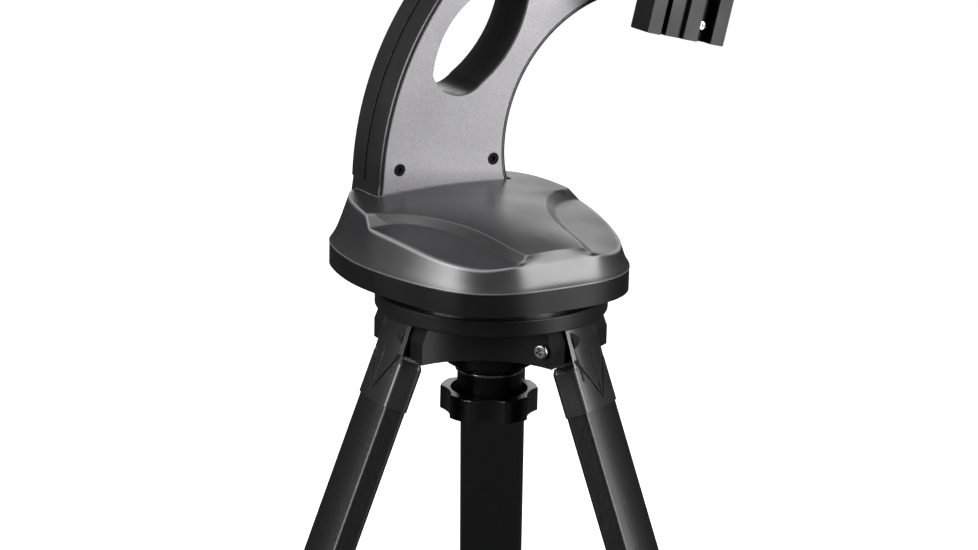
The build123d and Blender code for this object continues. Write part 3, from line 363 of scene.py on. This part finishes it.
def make_materials():
    """One material for each material slot of the record."""
    made = {
        "grey_paint": speckled_paint(),
        "black_aluminium": anodised("black_aluminium", tone=0.005, shine=0.36),
        "rubber": rubber(),
        "board": circuit_board(),
    }
    for name, (tone, shine, grain_size, grain_depth, worn, gloss) in PLASTICS.items():
        made[name] = moulded(name, tone, shine, grain_size, grain_depth, worn, gloss)
    for name, (colour, shine, scratch_depth) in METALS.items():
        made[name] = machined(name, colour, shine, scratch_depth)
    return made


def dress(frame, materials):
    """Gives every CAD node the material of its slot."""
    slots = {part["node"]: part["material_slot"] for part in frame["record"]["subparts"]}
    for name, node in frame["nodes"].items():
        node.data.materials.clear()
        node.data.materials.append(materials[slots[name]])
        node["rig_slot"] = slots[name]


# ---------------------------------------------------------------- base cover


def between(first, second, share):
    """The point that lies share of the way from first to second."""
    return tuple(a + (b - a) * share for a, b in zip(first, second))


def spine_height(n, f):
    """Height of the raised spine at a point of its plan: it climbs to the rear and is domed across."""
    back = (SPINE_FRONT - n) / SPINE_UNIT
    if back < SPINE_PLATEAU:
        start, slope, bend = SPINE_CLIMB
        crest = start + slope * back + bend * back * back
    else:
        crest = PLATEAU_HEIGHT + PLATEAU_RISE * min(1.0, (back - SPINE_PLATEAU) / PLATEAU_RUN)
    dome = FRONT_DOME + DOME_GAIN * min(1.0, back / DOME_RUN)
    return crest + dome * (1.0 - (f / spine_half_width(n)) ** 2)


def spine_half_width(n):
    """Half the spine's width at n, read off the spine points of the stations."""
    edge = [station[3][:2] for station in COVER_STATIONS[SPINE_CORNER:]]
    for (n_front, f_front), (n_rear, f_rear) in zip(edge, edge[1:]):
        if n_rear <= n <= n_front:
            return f_front + (f_rear - f_front) * (n_front - n) / (n_front - n_rear)
    raise ValueError(f"{n} is off the spine")


def skirt_point(rim, edge, shares):
    """A point of the skirt between its rim and its top edge."""
    inward, upward = shares
    foot = COVER_RIM + COVER_LIP
    return (*between(rim, edge[:2], inward), foot + upward * (edge[2] - foot))


def cover_strip(station):
    """The points of one strip of the cover's cage, from the rim to the middle line."""
    rim, edge, foot, spine, middle = station
    low = (*rim, COVER_RIM)
    lip = (*rim, COVER_RIM + COVER_LIP)
    flare = skirt_point(rim, edge, SKIRT_FLARE)
    waist = skirt_point(rim, edge, SKIRT_WAIST)
    strip = [low, lip, flare, waist, edge, between(edge, foot, SCOOP_MIDDLE), foot, spine]
    for share in SPINE_SHARES:
        n, f = between(spine[:2], (middle, 0.0), share)
        strip.append((n, f, spine_height(n, f)))
    return strip


def cover_cage():
    """Both halves of the cage as one mesh, in the part's frame."""
    strips = [cover_strip(station) for station in COVER_STATIONS]
    cage = bmesh.new()
    crease = cage.edges.layers.float.new("crease_edge")
    for side in (1.0, -1.0):
        grid = []
        for strip in strips:
            column = []
            for n, f, z in strip:
                at = (AZIMUTH_AXIS[0] + n, AZIMUTH_AXIS[1] + side * f, FLANGE_TOP + z)
                column.append(cage.verts.new(Vector(at) * MM))
            grid.append(column)
        for place, (left, right) in enumerate(zip(grid, grid[1:])):
            for ring in range(len(left) - 1):
                corners = [left[ring], left[ring + 1], right[ring + 1], right[ring]]
                cage.faces.new(corners if side < 0.0 else corners[::-1])
            for ring, (sharp, start, end) in COVER_CREASES.items():
                if start <= place < end:
                    cage.edges.get((left[ring], right[ring]))[crease] = sharp
        for place, (start, sharp) in STATION_CREASES.items():
            for ring in range(start, SPINE_RING):
                cage.edges.get((grid[place][ring], grid[place][ring + 1]))[crease] = sharp
    bmesh.ops.remove_doubles(cage, verts=cage.verts, dist=WELD * MM)
    bmesh.ops.recalc_face_normals(cage, faces=cage.faces)
    if sum(face.normal.z * face.calc_area() for face in cage.faces) < 0.0:
        bmesh.ops.reverse_faces(cage, faces=cage.faces)
    mesh = bpy.data.meshes.new("cover_shell")
    cage.to_mesh(mesh)
    cage.free()
    return mesh


def apply_modifiers(piece):
    """Replaces a piece's mesh with what its modifiers make of it."""
    bpy.context.view_layer.update()
    seen = piece.evaluated_get(bpy.context.evaluated_depsgraph_get())
    mesh = bpy.data.meshes.new_from_object(seen)
    piece.modifiers.clear()
    piece.data = mesh


def cut_arm_hole(mesh):
    """Opens the cover where the arm's foot passes through it."""
    low, high = [
        ((AZIMUTH_AXIS[0] + n) * MM, (AZIMUTH_AXIS[1] + f) * MM) for n, f in ARM_HOLE
    ]
    reach = CUT_REACH * MM
    skin = bmesh.new()
    skin.from_mesh(mesh)
    for axis in (0, 1):
        across = Vector((1.0 - axis, float(axis), 0.0))
        for corner in (low, high):
            place = Vector((corner[0], corner[1], 0.0))
            near = [face for face in skin.faces if near_hole(face, low, high)]
            parts = set(near)
            for face in near:
                parts.update(face.edges)
                parts.update(face.verts)
            bmesh.ops.bisect_plane(skin, geom=list(parts), plane_co=place, plane_no=across, dist=reach)
    inside = [face for face in skin.faces if in_hole(face.calc_center_median(), low, high)]
    bmesh.ops.delete(skin, geom=inside, context="FACES")
    skin.to_mesh(mesh)
    skin.free()


def near_hole(face, low, high):
    """True if a face reaches over the hole's rectangle."""
    spans = [[vert.co[axis] for vert in face.verts] for axis in (0, 1)]
    return all(min(span) < high[axis] and max(span) > low[axis] for axis, span in enumerate(spans))


def in_hole(point, low, high):
    """True if a point lies in the hole's rectangle."""
    return all(low[axis] < point[axis] < high[axis] for axis in (0, 1))


def add_cover():
    """The sculpted cover of the turning base: a flared skirt, two scoops and a raised spine."""
    cover = bpy.data.objects.new("cover_shell", cover_cage())
    bpy.context.scene.collection.objects.link(cover)
    smooth = cover.modifiers.new("smooth", "SUBSURF")
    smooth.levels = COVER_LEVELS
    smooth.render_levels = COVER_LEVELS
    apply_modifiers(cover)
    cut_arm_hole(cover.data)
    shell = cover.modifiers.new("shell", "SOLIDIFY")
    shell.thickness = COVER_WALL * MM
    shell.offset = -1.0
    apply_modifiers(cover)
    cover.data.shade_smooth()
    cover.data.set_sharp_from_angle(angle=math.radians(COVER_SHARP))
    cover.data.materials.append(cover_plastic())
    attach(cover, "turret")
    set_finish(cover, "smooth_plastic")
    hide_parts("base_cover")


# ---------------------------------------------------------------- studio


def add_foot_marker(leg):
    """A point under a foot that moves with its lower leg."""
    low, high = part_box(f"leg_foot_{leg}")
    marker = bpy.data.objects.new(f"under_foot_{leg}", None)
    bpy.context.scene.collection.objects.link(marker)
    marker.location = ((low.x + high.x) / 2, (low.y + high.y) / 2, low.z)
    bpy.context.view_layer.update()
    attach(marker, f"lower_leg_{leg}_body")
    return marker


def stand_on_lowest_foot(floor):
    """Drives the floor's height, so that a leg drawn out in a pose is not hidden under it."""
    driver = floor.driver_add("location", 2).driver
    heights = [f"foot{leg}" for leg in LEGS]
    for leg, name in zip(LEGS, heights):
        height = driver.variables.new()
        height.name = name
        height.type = "TRANSFORMS"
        height.targets[0].id = add_foot_marker(leg)
        height.targets[0].transform_type = "LOC_Z"
        height.targets[0].transform_space = "WORLD_SPACE"
    driver.expression = f"min({', '.join(heights)})"


def add_floor():
    """A plain pale floor that reaches past every view of the object."""
    bpy.ops.mesh.primitive_plane_add(size=FLOOR_SIDE)
    floor = bpy.context.object
    floor.name = "floor"
    stand_on_lowest_foot(floor)
    shader = Shader("floor", (FLOOR_TONE,) * 3, roughness=0.9)
    seen = shader.tree.nodes.new("ShaderNodeLightPath").outputs["Is Camera Ray"]
    surface = shader.surface.inputs
    surface["Emission Color"].default_value = (1.0, 1.0, 1.0, 1.0)
    shader.join(shader.spread(seen, 0.0, FLOOR_GLOW, start=0.0, end=1.0), surface["Emission Strength"])
    shader.colour(shader.blend_colours(seen, (FLOOR_BOUNCE,) * 3, (FLOOR_TONE,) * 3))
    surface["Specular IOR Level"].default_value = 0.1
    floor.data.materials.append(shader.material)


def add_light(name, place, size, power):
    """A rectangular light that faces LIGHTS_AIM."""
    light = bpy.data.lights.new(name, "AREA")
    light.shape = "RECTANGLE"
    light.size, light.size_y = size
    light.energy = power
    holder = bpy.data.objects.new(name, light)
    bpy.context.scene.collection.objects.link(holder)
    holder.location = place
    aim = Vector(LIGHTS_AIM) - Vector(place)
    holder.rotation_euler = aim.to_track_quat("-Z", "Y").to_euler()


def add_lights():
    """Soft studio light: a wide one overhead, one at each side of the camera and a weak one behind."""
    for name, (place, size, power) in LIGHTS.items():
        add_light(name, place, size, power)


def add_world():
    """A white backdrop to the camera that lights the object only faintly."""
    world = bpy.data.worlds.new("studio")
    world.use_nodes = True
    tree = world.node_tree
    backdrop = tree.nodes["Background"]
    backdrop.inputs["Color"].default_value = (1.0, 1.0, 1.0, 1.0)
    seen = tree.nodes.new("ShaderNodeLightPath").outputs["Is Camera Ray"]
    strength = tree.nodes.new("ShaderNodeMapRange")
    strength.inputs["To Min"].default_value = WORLD_LIGHT
    strength.inputs["To Max"].default_value = BACKDROP
    tree.links.new(seen, strength.inputs["Value"])
    tree.links.new(strength.outputs["Result"], backdrop.inputs["Strength"])
    bpy.context.scene.world = world


def add_camera():
    """The one camera, turned about its line of sight by CAMERA_ROLL."""
    data = bpy.data.cameras.new("camera")
    data.lens = LENS
    data.sensor_width = SENSOR
    data.clip_start, data.clip_end = SIGHT
    camera = bpy.data.objects.new("camera", data)
    bpy.context.scene.collection.objects.link(camera)
    forward = Vector(CAMERA_FORWARD).normalized()
    right = forward.cross(Vector((0.0, 0.0, 1.0))).normalized()
    up = right.cross(forward)
    roll = math.radians(CAMERA_ROLL)
    side = math.cos(roll) * right + math.sin(roll) * up
    top = -math.sin(roll) * right + math.cos(roll) * up
    turn = Matrix((side, top, -forward)).transposed()
    camera.matrix_world = Matrix.Translation(Vector(CAMERA_AT) * MM) @ turn.to_4x4()
    bpy.context.scene.camera = camera


bpy.context.scene.view_settings.view_transform = "Standard"
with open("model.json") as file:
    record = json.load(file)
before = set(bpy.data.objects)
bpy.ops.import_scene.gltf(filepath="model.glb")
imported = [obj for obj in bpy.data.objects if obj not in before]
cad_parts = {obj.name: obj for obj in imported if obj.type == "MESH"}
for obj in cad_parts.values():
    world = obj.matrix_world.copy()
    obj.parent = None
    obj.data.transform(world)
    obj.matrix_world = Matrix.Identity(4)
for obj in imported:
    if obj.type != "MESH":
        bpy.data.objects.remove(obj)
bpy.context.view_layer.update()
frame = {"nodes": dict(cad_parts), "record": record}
materials = make_materials()
dress(frame, materials)
add_cover()
add_floor()
add_lights()
add_world()
add_camera()
